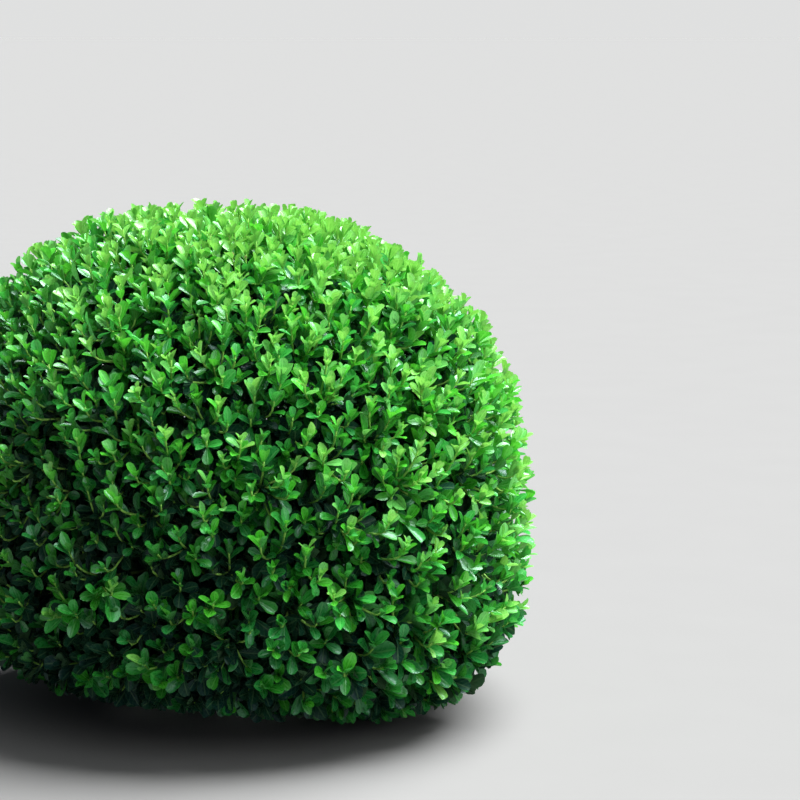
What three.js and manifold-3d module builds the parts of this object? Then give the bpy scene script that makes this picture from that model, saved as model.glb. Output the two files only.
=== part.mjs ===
// A clipped box ball that grows in open ground: a short stem with its root flare, the boughs that fork from it
// inside the crown, and the clipped ball of foliage that they carry.
// Millimetres, +Z up. The origin is the centre of the flat cut under the stem, at ground level.
import * as THREE from "three";
import { mergeVertices } from "three/addons/utils/BufferGeometryUtils.js";
import Module from "manifold-3d";

const wasm = await Module();
wasm.setup();

// Driving dimensions of the clipped crown: the outline that no leaf tip passes
const CROWN_WIDTH = 562; // at the waist
const CROWN_TOP = 480;
const CROWN_FOOT = 20;
const WAIST = 190; // height of the widest part, and of the point that all the crown's directions start from
const SHOULDER_POWER = 2.43; // 2 is an ellipse, more is squarer
const SKIRT_POWER = 3.4;

// Where the shears left the crown fuller or hollower than the plain shape: degrees, and a share of its reach
const SWELLS = [
  { azimuth: 170, elevation: 52, spread: 28, gain: 0.035 },
  { azimuth: 20, elevation: 50, spread: 24, gain: -0.035 },
  { azimuth: -35, elevation: -40, spread: 20, gain: 0.085 },
  { azimuth: -120, elevation: -40, spread: 28, gain: -0.05 },
  { azimuth: 75, elevation: 20, spread: 30, gain: 0.02 },
  { azimuth: 60, elevation: -30, spread: 25, gain: -0.03 },
  { azimuth: 215, elevation: 5, spread: 25, gain: -0.02 },
];

// The dense inside of the foliage, as shares of the crown's reach
const CORE_SHARE = 0.73;
const CORE_ROUGHNESS = 0.045;
const HOLLOW_SHARE = 0.5; // the bare middle, where the boughs are
const HOLLOW_DROP = 260; // the hollow runs on down past the crown's underside
const CORE_DETAIL = 4;
const HOLLOW_DETAIL = 2;

// The stem and its boughs
const STEM_RADIUS = 19;
const STEM_TIP_RADIUS = 13;
const STEM_HEIGHT = 96;
const STEM_LEAN = 7; // sideways, at the fork
const STEM_SIDES = 20;
const STEM_STEPS = 8;
const FLARE_GAIN = 0.85; // how much wider the foot is than the stem
const FLARE_HEIGHT = 16;
const ROOT_RIDGES = 5;
const RIDGE_DEPTH = 0.12;
const BOUGH_RADIUS = 9;
const BOUGH_TIP_SHARE = 0.5;
const BOUGH_SIDES = 8;
const BOUGH_STEPS = 7;
const SIDE_BOUGHS = 6;
const FIRST_AZIMUTH = 20; // degrees
// The side boughs take turns between a low and a high one: where they leave the stem, as a share of its
// height, and the elevation in degrees that they reach at the wall of the hollow
const SIDE_KINDS = [
  { leaves: 0.52, elevation: 2 },
  { leaves: 0.82, elevation: 40 },
];
const LEADER = { leaves: 0.97, azimuth: 200, elevation: 78 };
const LEAVES_STEP = 0.015; // each next side bough leaves the stem this much higher
const OVERRUN = 1.12; // the boughs' lines run on past the wall, where they are cut
const ELBOW_OUT = 0.62; // where a bough bends, as shares of its way out and its way up
const ELBOW_UP = 0.28;
const JOINT_GAP = 0.3; // between neighbouring pieces

// Shoots and leaves, larger than life: each leaf stands for a spray
const SHOOT_COUNT = 134;
const LOWEST_SHOOT = -46; // degrees
const AREA_RINGS = 400;
const SHOOT_ROOT_SHARE = 0.66; // of the crown's reach, well inside the core
const SHOOT_RADIUS = 5.2;
const SHOOT_SHARE = 0.86; // of the way from its root to the crown's outline
const UPWARD_PULL = [0.18, 0.42]; // the least and the most that a shoot turns up
const PULL_FADE = [-0.6, 0.1]; // sines of the elevations below which none turns up and above which all do
const LONGEST_LEAF = 68;
const LEAVES_OF_A_SHOOT = [
  { at: 0.45, turn: 90, lean: 62, length: LONGEST_LEAF },
  { at: 0.45, turn: -90, lean: 62, length: LONGEST_LEAF },
  { at: 0.63, turn: 0, lean: 36, length: 62 },
  { at: 0.63, turn: 180, lean: 36, length: 62 },
];
const TWIST = 16; // degrees by which a shoot's leaves may miss the middle of its twig's faces
// A change of lean in degrees and a share of the length, tried in turn until a leaf is free of other shoots
const LEAF_TRIES = [
  [0, 1],
  [-12, 1],
  [10, 1],
  [-20, 0.85],
  [16, 0.85],
  [-28, 0.85],
  [-8, 0.65],
  [20, 0.65],
];
const SHORTEST_LEAF = 30;
// Shares of a leaf's length
const LEAF_HALF_WIDTH = 0.28;
const LEAF_WIDEST = 0.58; // how far out it is widest
const LEAF_END = 0.96; // how far out its straight end is
const LEAF_END_HALF = 0.145; // half the width of that end
const LEAF_KEEL = 0.5; // how far out its keel is deepest
const LEAF_THICKNESS = 0.045; // there
const LEAF_ROOT_SINK = 1.2;
const TIP_CLEAR = 0.5; // leaf tips stay this far inside the crown's outline
const SMALLEST_EDGE = 0.25; // shorter ones that the fusing leaves behind are taken up
const SEED = 41;

const BARK = { color: 0x6b5a45, roughness: 0.9, metalness: 0 };
const LEAF_GREEN = { color: 0x2f7d27, roughness: 0.5, metalness: 0 };

const UP = new THREE.Vector3(0, 0, 1);
const CROWN_CENTRE = new THREE.Vector3(0, 0, WAIST);
const GOLDEN_ANGLE = Math.PI * (3 - Math.sqrt(5));
const degrees = THREE.MathUtils.degToRad;
const mix = THREE.MathUtils.lerp;

// A repeatable random number from 0 to 1 at each call.
function seededRandom(seed) {
  let state = seed;
  return () => {
    state = (state + 0x6d2b79f5) | 0;
    let t = Math.imul(state ^ (state >>> 15), 1 | state);
    t = (t + Math.imul(t ^ (t >>> 7), 61 | t)) ^ t;
    return ((t ^ (t >>> 14)) >>> 0) / 4294967296;
  };
}

// A unit vector from an azimuth, counted from +X towards +Y, and an elevation, both in radians.
function direction(azimuth, elevation) {
  const level = Math.cos(elevation);
  return new THREE.Vector3(level * Math.cos(azimuth), level * Math.sin(azimuth), Math.sin(elevation));
}

function swell(way) {
  return SWELLS.reduce((sum, s) => {
    const apart = way.angleTo(direction(degrees(s.azimuth), degrees(s.elevation))) / degrees(s.spread);
    return sum + s.gain * Math.exp(-apart * apart);
  }, 1);
}

// How far the crown's outline is from its centre in a direction.
function crownReach(way) {
  const above = way.z >= 0;
  const rise = above ? CROWN_TOP - WAIST : WAIST - CROWN_FOOT;
  const power = above ? SHOULDER_POWER : SKIRT_POWER;
  const level = (2 * Math.hypot(way.x, way.y)) / CROWN_WIDTH;
  return (level ** power + (Math.abs(way.z) / rise) ** power) ** (-1 / power) * swell(way);
}

function insideCrown(point) {
  const arm = point.clone().sub(CROWN_CENTRE);
  return arm.length() <= crownReach(arm.clone().normalize()) - TIP_CLEAR;
}

// The length from a point inside the crown to its outline, along a direction.
function roomAlong(start, way, most) {
  if (insideCrown(start.clone().addScaledVector(way, most))) return most;
  let [low, high] = [0, most];
  for (let step = 0; step < 16; step++) {
    const middle = (low + high) / 2;
    if (insideCrown(start.clone().addScaledVector(way, middle))) low = middle;
    else high = middle;
  }
  return low;
}

// A closed geometry as a solid, with its shared vertices merged and the faces that this closes up left out.
function solid(geometry) {
  const bare = geometry.clone();
  bare.deleteAttribute("normal");
  bare.deleteAttribute("uv");
  const merged = mergeVertices(bare, 1e-4);
  const corners = merged.index.array;
  const triVerts = [];
  for (let i = 0; i < corners.length; i += 3) {
    const [a, b, c] = corners.slice(i, i + 3);
    if (a !== b && b !== c && c !== a) triVerts.push(a, b, c);
  }
  return new wasm.Manifold(
    new wasm.Mesh({
      numProp: 3,
      vertProperties: merged.attributes.position.array,
      triVerts: new Uint32Array(triVerts),
    }),
  );
}

// The biggest of the bodies that a cut leaves.
function largestBody(cut) {
  return cut.decompose().reduce((best, body) => (body.volume() > best.volume() ? body : best));
}

function geometryOf(shape) {
  const mesh = shape.getMesh();
  const geometry = new THREE.BufferGeometry();
  geometry.setAttribute("position", new THREE.BufferAttribute(mesh.vertProperties, 3));
  geometry.setIndex(new THREE.BufferAttribute(mesh.triVerts, 1));
  geometry.computeVertexNormals();
  return geometry;
}

function namedMesh(name, shape, look) {
  const mesh = new THREE.Mesh(geometryOf(shape), new THREE.MeshStandardMaterial(look));
  mesh.name = name;
  return mesh;
}

// Moves each vertex of a geometry to where place() puts it.
function reshape(geometry, place) {
  const position = geometry.attributes.position;
  const at = new THREE.Vector3();
  for (let i = 0; i < position.count; i++) {
    const moved = place(at.fromBufferAttribute(position, i).clone());
    position.setXYZ(i, moved.x, moved.y, moved.z);
  }
  return geometry;
}

// A round limb that follows a curve, with a radius for each share of its length and each angle round it.
function limb(curve, radiusAt, sides, steps) {
  const frames = curve.computeFrenetFrames(steps, false);
  const bent = reshape(new THREE.CylinderGeometry(1, 1, steps, sides, steps), (p) => {
    const ring = Math.round(p.y + steps / 2);
    const angle = Math.atan2(p.z, p.x);
    const radius = Math.hypot(p.x, p.z) * radiusAt(ring / steps, angle);
    return curve
      .getPointAt(ring / steps)
      .addScaledVector(frames.normals[ring], radius * Math.cos(angle))
      .addScaledVector(frames.binormals[ring], -radius * Math.sin(angle));
  });
  return solid(bent);
}

// A ball about the crown's centre whose surface is at reachAt() in each direction.
function crownBall(detail, reachAt) {
  const ball = new THREE.IcosahedronGeometry(1, detail);
  return solid(
    reshape(ball, (p) => {
      const way = p.normalize();
      return CROWN_CENTRE.clone().addScaledVector(way, reachAt(way));
    }),
  );
}

// The dense inside of the foliage, rough from one corner of its facets to the next.
function coreReach(way) {
  const rough = Math.sin(31 * way.x + 17 * way.y + 1) + Math.sin(23 * way.y - 29 * way.z + 2);
  return crownReach(way) * CORE_SHARE * (1 + (CORE_ROUGHNESS * rough) / 2);
}

// The bare middle of the crown: a dome above the waist, and an upright shaft that is open below it.
// A grown or shrunk one keeps the same facets.
function hollowSpace(grown) {
  return crownBall(HOLLOW_DETAIL, (way) => {
    const width = (HOLLOW_SHARE * CROWN_WIDTH) / 2;
    const height = way.z < 0 ? HOLLOW_DROP : HOLLOW_SHARE * (CROWN_TOP - WAIST);
    return grown + 1 / Math.hypot(Math.hypot(way.x, way.y) / width, way.z / height);
  });
}

const stemLine = new THREE.QuadraticBezierCurve3(
  new THREE.Vector3(0, 0, 0),
  new THREE.Vector3(0, 0, STEM_HEIGHT / 2),
  new THREE.Vector3(STEM_LEAN, STEM_LEAN / 2, STEM_HEIGHT),
);

// The stem, flared into root ridges at the ground.
function stem(grown) {
  const radiusAt = (share, angle) => {
    const nearGround = Math.exp((-share * STEM_HEIGHT) / FLARE_HEIGHT);
    const ridges = 1 + RIDGE_DEPTH * nearGround * Math.cos(ROOT_RIDGES * angle);
    return mix(STEM_RADIUS, STEM_TIP_RADIUS, share) * (1 + FLARE_GAIN * nearGround) * ridges + grown;
  };
  return limb(stemLine, radiusAt, STEM_SIDES, STEM_STEPS);
}

// The line of a bough, from inside the stem outwards and then up to the wall of the hollow.
function boughLine({ leaves, azimuth, elevation }) {
  const start = stemLine.getPointAt(leaves);
  const way = direction(degrees(azimuth), degrees(elevation));
  const tip = CROWN_CENTRE.clone().addScaledVector(way, crownReach(way) * HOLLOW_SHARE * OVERRUN);
  const elbow = new THREE.Vector3(
    mix(start.x, tip.x, ELBOW_OUT),
    mix(start.y, tip.y, ELBOW_OUT),
    mix(start.z, tip.z, ELBOW_UP),
  );
  return new THREE.QuadraticBezierCurve3(start, elbow, tip);
}

function boughLines() {
  const sides = Array.from({ length: SIDE_BOUGHS }, (_, i) => {
    const { leaves, elevation } = SIDE_KINDS[i % SIDE_KINDS.length];
    const azimuth = FIRST_AZIMUTH + (360 * i) / SIDE_BOUGHS;
    return boughLine({ leaves: leaves + LEAVES_STEP * i, azimuth, elevation });
  });
  return [...sides, boughLine(LEADER)];
}

// The boughs, each cut clear of the stem, of the boughs before it and of the foliage that it enters.
function boughs() {
  const room = hollowSpace(-JOINT_GAP);
  let taken = stem(JOINT_GAP);
  return boughLines().map((line) => {
    const shape = (grown) => {
      const radiusAt = (share) => BOUGH_RADIUS * mix(1, BOUGH_TIP_SHARE, share) + grown;
      return limb(line, radiusAt, BOUGH_SIDES, BOUGH_STEPS);
    };
    const cut = largestBody(shape(0).subtract(taken).intersect(room));
    taken = taken.add(shape(JOINT_GAP));
    return cut;
  });
}

// A leaf of eight faces that points along +Y from its root: a cone on a five-cornered base. The base is the
// leaf's upper side, with its middle drawn into the second corner, and the cone's point is the keel below.
function leafBlade(length) {
  const outline = [
    [0, 0],
    [-LEAF_HALF_WIDTH, LEAF_WIDEST],
    [-LEAF_END_HALF, LEAF_END],
    [LEAF_END_HALF, LEAF_END],
    [LEAF_HALF_WIDTH, LEAF_WIDEST],
  ].map(([x, y]) => new THREE.Vector3(x * length, y * length, 0));
  return reshape(new THREE.ConeGeometry(1, 2, outline.length), (p) => {
    if (p.y > 0) return new THREE.Vector3(0, LEAF_KEEL * length, -LEAF_THICKNESS * length);
    if (p.x === 0 && p.z === 0) return outline[1];
    const corner = Math.round((Math.atan2(p.x, p.z) / (2 * Math.PI)) * outline.length);
    return outline[(corner + outline.length) % outline.length];
  });
}

// A leaf on a shoot, or nothing where the crown leaves it no room.
function leaf(root, way, faceUp, mostLength) {
  const start = root.clone().addScaledVector(way, -LEAF_ROOT_SINK);
  const length = roomAlong(start, way, mostLength) / LEAF_END;
  if (length < SHORTEST_LEAF) return null;
  const side = new THREE.Vector3().crossVectors(way, faceUp).normalize();
  const face = new THREE.Vector3().crossVectors(side, way);
  const turn = new THREE.Matrix4().makeBasis(side, way, face).setPosition(start);
  const blade = leafBlade(length).applyMatrix4(turn);
  const corners = blade.attributes.position;
  const at = new THREE.Vector3();
  for (let i = 0; i < corners.count; i++) {
    if (!insideCrown(at.fromBufferAttribute(corners, i))) return null;
  }
  return { shape: solid(blade), middle: start.clone().addScaledVector(way, length / 2) };
}

function crossesAny(piece, others) {
  const near = others.filter((other) => other.middle.distanceTo(piece.middle) < LONGEST_LEAF);
  return near.some((other) => piece.shape.intersect(other.shape).volume() > 0);
}

// One shoot: a straight pointed twig out of the core with two crossed pairs of leaves. A leaf that would cross
// another shoot is tried again at other leans and a shorter length, and left out if none is free.
function shoot(way, random, others) {
  const reach = crownReach(way);
  const pull = mix(...UPWARD_PULL, random()) * THREE.MathUtils.smoothstep(way.z, ...PULL_FADE);
  const growth = way.clone().addScaledVector(UP, pull).normalize();
  const start = CROWN_CENTRE.clone().addScaledVector(way, reach * SHOOT_ROOT_SHARE);
  const length = roomAlong(start, growth, reach) * SHOOT_SHARE;
  const line = new THREE.LineCurve3(start, start.clone().addScaledVector(growth, length));
  const shape = limb(line, (share) => SHOOT_RADIUS * (1 - share), 3, 1);
  const twig = { shape, middle: line.getPointAt(0.5) };

  const spin = 120 * Math.floor(3 * random()) + TWIST * (random() - 0.5);
  const across = line.computeFrenetFrames(1, false).normals[0].clone().applyAxisAngle(growth, degrees(spin));
  const leaves = LEAVES_OF_A_SHOOT.map(({ at, turn, lean, length: longest }) => {
    const outward = across.clone().applyAxisAngle(growth, degrees(turn));
    for (const [swing, share] of LEAF_TRIES) {
      const angle = degrees(lean + swing);
      const axis = growth.clone().multiplyScalar(Math.cos(angle)).addScaledVector(outward, Math.sin(angle));
      const made = leaf(line.getPointAt(at), axis, growth, longest * share);
      if (made && !crossesAny(made, others)) return made;
    }
    return null;
  });
  return [twig, ...leaves.filter((one) => one)];
}

// The directions of the shoots: a golden-angle spiral from the top down that is even over the crown's surface.
// The surface is added up ring by ring for this, each ring one step of elevation.
function shootWays() {
  const elevationAt = (ring) => degrees(mix(90, LOWEST_SHOOT, ring / AREA_RINGS));
  const outlineAt = (ring) => {
    const way = direction(0, elevationAt(ring));
    return way.clone().multiplyScalar(crownReach(way));
  };
  const areaAbove = [0];
  for (let ring = 1; ring <= AREA_RINGS; ring++) {
    const [upper, lower] = [outlineAt(ring - 1), outlineAt(ring)];
    areaAbove.push(areaAbove[ring - 1] + upper.distanceTo(lower) * (upper.x + lower.x));
  }
  return Array.from({ length: SHOOT_COUNT }, (_, i) => {
    const area = ((i + 0.5) / SHOOT_COUNT) * areaAbove[AREA_RINGS];
    const ring = areaAbove.findIndex((above) => above >= area);
    return direction(i * GOLDEN_ANGLE, elevationAt(ring));
  });
}

// The clipped foliage: a dense core with an open middle, and the shoots and leaves that stand out of it.
function foliage() {
  const core = crownBall(CORE_DETAIL, coreReach).subtract(hollowSpace(0));
  const random = seededRandom(SEED);
  const standing = [];
  for (const way of shootWays()) standing.push(...shoot(way, random, standing));
  const fused = wasm.Manifold.union([core, ...standing.map((piece) => piece.shape)]);
  return largestBody(fused.simplify(SMALLEST_EDGE));
}

const ball = new THREE.Group();
ball.add(namedMesh("stem", stem(0), BARK));
boughs().forEach((shape, i) => ball.add(namedMesh(`bough_${i + 1}`, shape, BARK)));
ball.add(namedMesh("foliage_ball", foliage(), LEAF_GREEN));

export default ball;
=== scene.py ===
"""A clipped box ball that grows in open ground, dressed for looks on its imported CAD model.

The stem and boughs get a fissured bark. From the boughs grow branches, twigs and leafy shoots, by the rule of
the part's source carried on to finer growth: directions on a golden-angle spiral over the crown's surface,
growth that turns up to the light, and leaves in crossed pairs, all within the outline of the clipped crown.
Metres, +Z up, in the frame of the CAD model. A sine is that of an elevation seen from the crown's centre.
"""

import math

import bmesh
import bpy
import numpy as np
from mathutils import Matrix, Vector


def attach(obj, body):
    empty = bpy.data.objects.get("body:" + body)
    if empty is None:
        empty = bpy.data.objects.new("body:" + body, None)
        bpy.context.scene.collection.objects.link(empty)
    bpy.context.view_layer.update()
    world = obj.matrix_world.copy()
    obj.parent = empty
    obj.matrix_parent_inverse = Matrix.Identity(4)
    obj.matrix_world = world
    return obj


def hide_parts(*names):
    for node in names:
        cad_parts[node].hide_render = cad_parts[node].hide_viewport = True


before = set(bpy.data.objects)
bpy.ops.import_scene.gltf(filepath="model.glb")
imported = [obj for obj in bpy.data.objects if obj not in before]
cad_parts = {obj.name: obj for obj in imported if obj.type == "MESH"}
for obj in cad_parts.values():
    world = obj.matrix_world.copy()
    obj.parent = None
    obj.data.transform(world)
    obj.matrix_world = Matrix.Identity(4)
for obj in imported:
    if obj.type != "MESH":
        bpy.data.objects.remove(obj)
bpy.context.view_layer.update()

bl_info = {
    "name": "Clipped Box Ball",
    "version": (1, 0, 0),
    "blender": (4, 5, 0),
    "location": "3D View > Sidebar > Box Ball",
    "description": "Bark, branches, shoots and leaves for a clipped box ball",
    "category": "Object",
}

BODY = "root"
UP = np.array([0.0, 0.0, 1.0])
GOLDEN_ANGLE = math.pi * (3 - math.sqrt(5))
AREA_RINGS = 400  # steps of elevation in which the crown's surface is added up
WAY_SPREAD = 0.30  # how far a direction strays, as a share of the gap between two

# Where the shears left the crown fuller or hollower than the plain shape: azimuth, elevation and spread in
# degrees, and a share of its reach
SWELLS = (
    (170, 52, 28, 0.035),
    (20, 50, 24, -0.035),
    (-35, -40, 20, 0.085),
    (-120, -40, 28, -0.05),
    (75, 20, 30, 0.02),
    (60, -30, 25, -0.03),
    (215, 5, 25, -0.02),
)

# The side boughs take turns between a low and a high one: where they leave the stem, as a share of its
# height, and the elevation in degrees that they reach
SIDE_BOUGHS = 6
SIDE_KINDS = ((0.52, 2), (0.82, 40))
FIRST_AZIMUTH = 20
LEAVES_STEP = 0.015  # each leaves the stem that much higher than the one before
LEADER = (0.97, 200, 78)  # where it leaves the stem, its azimuth and its elevation
ELBOW_OUT = 0.62  # how far along a bough's span its elbow is, sideways
ELBOW_UP = 0.28  # and upwards
HOLLOW_SHARE = 0.5  # reach of the crown's bare middle, as a share of the crown's
HOLLOW_DROP = 0.26  # and how far down it goes
OVERRUN = 1.12  # the boughs' lines run on past the wall of the bare middle
WALL_STEPS = 200  # points on a bough's curve where it is tested against that wall
LENGTH_STEPS = 60  # and where its length is measured
BOUGH_POINTS = 14
CURVE_FINENESS = 24  # steps of the curves that stem and boughs are bent along

# The bark's meshes: sides and rings before subdivision, then levels of subdivision, depth and grain
STEM_MESH = (30, 16)
STEM_RELIEF = (2, 0.0011, 0.0028)
BOUGH_MESH = (14, 18)
BOUGH_RELIEF = (1, 0.0007, 0.0024)
GRAIN_STRETCH = 3  # the fissures are drawn out that much along a limb
FURROW_LEVEL = 0.3
SWELL_DEPTH = 2  # broad swells are deeper than the fissures by that factor
SWELL_GRAIN = 3  # and coarser by that one
RIDGE_TOPS = (0.008, 0.020)  # the foot is drawn out below both heights, twice as far below the lower
RIDGE_COSINE = 0.8  # and within the angle of that cosine
COLLAR_GAIN = 0.35  # how much wider a bough is at its root
BOUGH_COLLAR = 0.012  # how far from the stem that fades
END_GAIN = 0.005  # a bough's bark reaches that far into the branches at its end

# How limbs grow. Their headings turn up by a draw from "pull", but not at all below the first sine of "fade"
# and in full above the second. They keep their own heading for the share "arrive" of their span. Parents bear
# them beyond the share "bearing" of their length. "turn" starts their spiral, "crowding" packs it at the top.
WOOD = {"pull": (0.18, 0.42), "fade": (-0.6, 0.1), "arrive": 0.42, "crowding": 0.0}
SHOOT = {"pull": (1.1, 2.6), "fade": (-0.9, 0.05), "arrive": 0.46, "crowding": 0.0}
LIMB_KINDS = {
    "branches": {**WOOD, "bearing": 0.40, "turn": 0.0, "points": 9, "sides": 8},
    "twigs": {**WOOD, "bearing": 0.30, "turn": 1.0, "points": 7, "sides": 6},
    "outer": {**SHOOT, "bearing": 0.15, "turn": 2.0, "points": 8, "sides": 4, "crowding": 0.9},
    "inner": {**SHOOT, "bearing": 0.00, "turn": 4.0, "points": 5, "sides": 4},
}
STRAY_COST = 0.9  # how much further off a parent counts that points the wrong way
LEAVE_SHARE = 0.36  # how long a limb keeps its parent's heading, as a share of its span
ROOT_SHARE = 0.85  # a limb's root is at most that share of its parent's radius there
REACH_SPREAD = 0.05  # how unevenly branches and twigs end, as a share of the crown's reach
LEAST_DEPTH = 0.005  # no shoot's tip is nearer to the outline
SHADE_DEPTHS = (0.020, 0.070)  # how much deeper the shaded shoots end
SHADE_SINES = (-0.7, -0.1)  # low down they end less deep
SHADE_LOSS = 0.5  # by that share

# The leaf blades: the depth of the notch in the tip, which below 0 is a point, and the half widths from base
# to tip at rows that stand closer together towards both ends, all as shares of the blade's length
BLADES = {
    "broad": (0.03, (0.030, 0.075, 0.175, 0.265, 0.285, 0.190, 0.085)),
    "oval": (-0.03, (0.030, 0.080, 0.185, 0.250, 0.240, 0.145, 0.060)),
    "spoon": (0.03, (0.030, 0.055, 0.115, 0.215, 0.290, 0.215, 0.105)),
    "clipped": (0.0, (0.030, 0.065, 0.160, 0.260, 0.290, 0.265, 0.210)),
    "young": (-0.03, (0.040, 0.125, 0.240, 0.225, 0.115, 0.045)),
    "inner": (-0.03, (0.040, 0.240, 0.290, 0.100)),
}
BLADE_NUMBERS = {name: number for number, name in enumerate(BLADES)}
BROAD_BELOW = 0.45  # the share of broad blades among the full-grown ones in the light
OVAL_BELOW = 0.72  # and that of broad and oval ones
LAST_DRAWN_PAIR = 4  # pairs further down a shoot, and buds, get the plain inner blade
FLAT_SHAPE = (0.80, 0.12)  # how far a flat blade is folded up and bent up
CURLED_SHAPE = (0.35, -0.20)  # and a curled one
ROW_NEARNESS = 0.3  # a vertex this near to a row is in it, as a share of the gap between rows
RIB_NEARNESS = 0.01

# The tints from the oldest to the youngest, and then that of dry scraps: the colour setting that each starts
# from, and its own red, green and blue shares of it
TINTS = {
    "deep_blue": ("deep", (0.85, 0.85, 1.25)),
    "deep_green": ("deep", (1.00, 1.00, 1.00)),
    "mature_blue": ("mature", (0.70, 0.80, 1.90)),
    "mature_green": ("mature", (1.00, 1.00, 1.00)),
    "mature_warm": ("mature", (1.50, 1.12, 0.85)),
    "fresh_green": ("fresh", (0.68, 0.84, 1.60)),
    "fresh_bright": ("fresh", (1.22, 1.08, 0.90)),
    "young_green": ("young", (0.80, 0.94, 1.10)),
    "young_lime": ("young", (1.12, 1.05, 1.00)),
    "faded": ("faded", (1.00, 1.00, 1.00)),
}
TINT_NUMBERS = {name: number for number, name in enumerate(TINTS)}

# How old a leaf looks decides its tint, together with painted shade and painted light. Painted shade gives
# darker tints deep inside the crown, low down, at the foot and away from the key light. Painted light gives
# lighter ones at the top and on the lit side. These are the ages between one tint and the next older one.
AGE_BOUNDS = (-1.6, -0.7, 0.2, 1.1, 2.0, 2.9, 4.1, 6.9)
AGE_START = -1.5
AGE_BY_PAIR = 0.62  # each pair down the shoot
AGE_AND_SHADE_DEPTH = 0.0095  # and each such depth inside the crown adds 1: partly the real age of inner leaves, partly painted shade that darkens the crown's inside
AGE_BY_YOUTH = 1.8  # a shoot that is still unfolding looks younger
PAINTED_SHADE_LOW = 0.9  # leaves low down get older, darker tints: painted shade
AGE_TONE = 1.1  # spread from spray to spray
AGE_TONE_LOW = 0.8  # which is that much wider low down
AGE_SPREAD = 0.55  # spread from leaf to leaf
LIT_SIDE = np.array([0.64, 0.0, 0.88])  # leaves facing that side, towards the key light, get younger, lighter tints, and those facing away get older, darker ones: partly real sun and shade leaves, partly painted light and shade
LIT_SIDE_GAIN = 2.6
LIT_TOP_SINES = (0.62, 0.95)
PAINTED_LIGHT_TOP = 1.4  # how much younger and lighter the tints are at the very top: painted light
SHADED_FOOT_SINES = (-0.62, -0.28)
PAINTED_SHADE_FOOT = 1.9  # and how much older and darker at the foot: painted shade
SKY_TINT_BELOW = -0.15  # below that sine, where only the sky lights them, many leaves take a bluer tint: a painted cool tint of the sky's light
SKY_TINT_SHARE = 0.6
SKY_TINTED = {"fresh_bright": "fresh_green", "mature_warm": "mature_blue", "mature_green": "mature_blue"}

# The leaves of each kind of limb: the most pairs on one limb, and their gaps and sizes as shares of the
# settings
SPRAYS = {
    "outer": {"limbs": "outer", "pairs": 8, "gap": 1.0, "size": 1.0},
    "inner": {"limbs": "inner", "pairs": 6, "gap": 1.1, "size": 1.15},
    "shade": {"limbs": "twigs", "pairs": 9, "gap": 1.15, "size": 1.3},
}
YOUTH_IN_LIGHT = (1.2, 1.6)  # the beta draw of how far a shoot's tip is still unfolding
YOUTH_IN_SHADE = (0.0, 0.3)  # an even draw
GAP_STRETCH = (0.75, 1.3)  # draw from shoot to shoot
FIRST_GAP = 0.42  # the first gap under the tip, as a share of a full one
FULL_GAP_PAIR = 3  # from that pair on the gaps are full
NEAR_TIP = 1e-4  # how far below a shoot's tip its end's heading is read
BUD_PLACE = 0.0008  # the bud sits that far below a shoot's tip
BUD_SIZE = 0.0042
BUD_LEAN = math.radians(14)
LOW_SINES = (-0.6, 0.2)  # low down is below the first, and not at all above the second
LOW_GAIN = 0.42  # leaves low down are larger by that share
SKY_ASIDE = 0.25  # how far from the side the light comes that leaves face
SKY_ASIDE_LOW = 0.45  # and how much further low down
OPEN_START = 0.35  # how far open the first pair is, in pairs
OPEN_YOUTH = 0.5  # and how much less on an unfolding tip
OPEN_PAIRS = 1.9  # pairs over which the leaves open
YOUNG_LOSS = 0.62  # how much shorter the first leaves of an unfolding tip are
YOUNG_PAIRS = 1.5  # pairs over which that fades
YOUNG_BELOW = 0.62  # a leaf shorter than that share of a full-grown one has the young blade
LEAN_SPREAD = math.radians(8)
SIDE_SPREAD = math.radians(9)
FACE_SPREAD = math.radians(13)
LENGTH_SPREAD = 0.13
WIDTH_DRAW = (0.92, 0.08)
LIFT = 0.16  # the most that a leaf bends up to the light
CLIPPED_PAIRS = (0, 1)  # the pairs of a clipped tip that the shears cut
OVERHANG = 0.005  # leaves may pass the crown's outline that far
FIT_STEPS = 4
FIT_GAIN = 1.1  # each step shortens a leaf by that much of what is over
LEAST_LEFT = 0.4  # a leaf that would be shortened to less than that share isn't there
SCRAP_SHARE = 0.0025  # of the leaves are dry scraps
SCRAP_SIZE = 0.4

# Each piece's own layout, and how far from its rim it keeps
LAYOUT = "OFBake"
LAYOUT_RIM = 0.03
FIRST_SPOKE = (0.31, 0.52, 0.79)  # no limb heads that way, so it can start the rounds of their skins
CAP_PLACE = 0.015  # where the round ends of a limb lie in it, and their size there
CAP_WIDE = 0.05
CAP_HIGH = 0.001

# Looks of a leaf. An edge is where a part of the pattern starts and where it is whole.
LEAF_GLOSS = 0.68
DEEP_GLOSS = 0.2  # leaves in the shade are duller
GLOSS_TINT = (0.80, 0.92, 1.0, 1)
LIGHT_THROUGH = 0.30  # the share of the light on a leaf that passes through it
GLOW = (1.15, 1.05, 0.85, 1)  # that light is yellower than what the leaf sends back
RIB_PALE = (1.1, (0.30, 0.50, 0.20), 0.26)  # the share of the blade's colour and that of a pale one
UNDER_PALE = (0.7, (0.16, 0.30, 0.12), 0.3)
RIB_EDGE = (0.16, 0.03)
MARGIN_EDGE = (0.84, 0.97)
BASE_EDGE = (0.35, 0.0)
VEIN_EDGE = (0.55, 1.0)
VEINS_ALONG = 46.0  # how far the veins' wave runs from base to tip, in radians
VEINS_OUT = -9.0  # and from the midrib to the margin
VEIN_STRENGTH = 0.16
BASE_STRENGTH = 0.45
MARGIN_STRENGTH = 0.6
RIB_STRENGTH = 0.55
RIB_HEIGHT = 0.7
VEIN_HEIGHT = 0.2
LEAF_MOTTLE = (7.0, 3.0)  # a noise's scale and detail
LEAF_SHADE = (0.74, 0.81, 0.80, 1)
LEAF_ROUGHNESS = (0.23, 0.36)
LEAF_RELIEF = (0.0004, 0.5)  # a bump's height and strength

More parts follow.
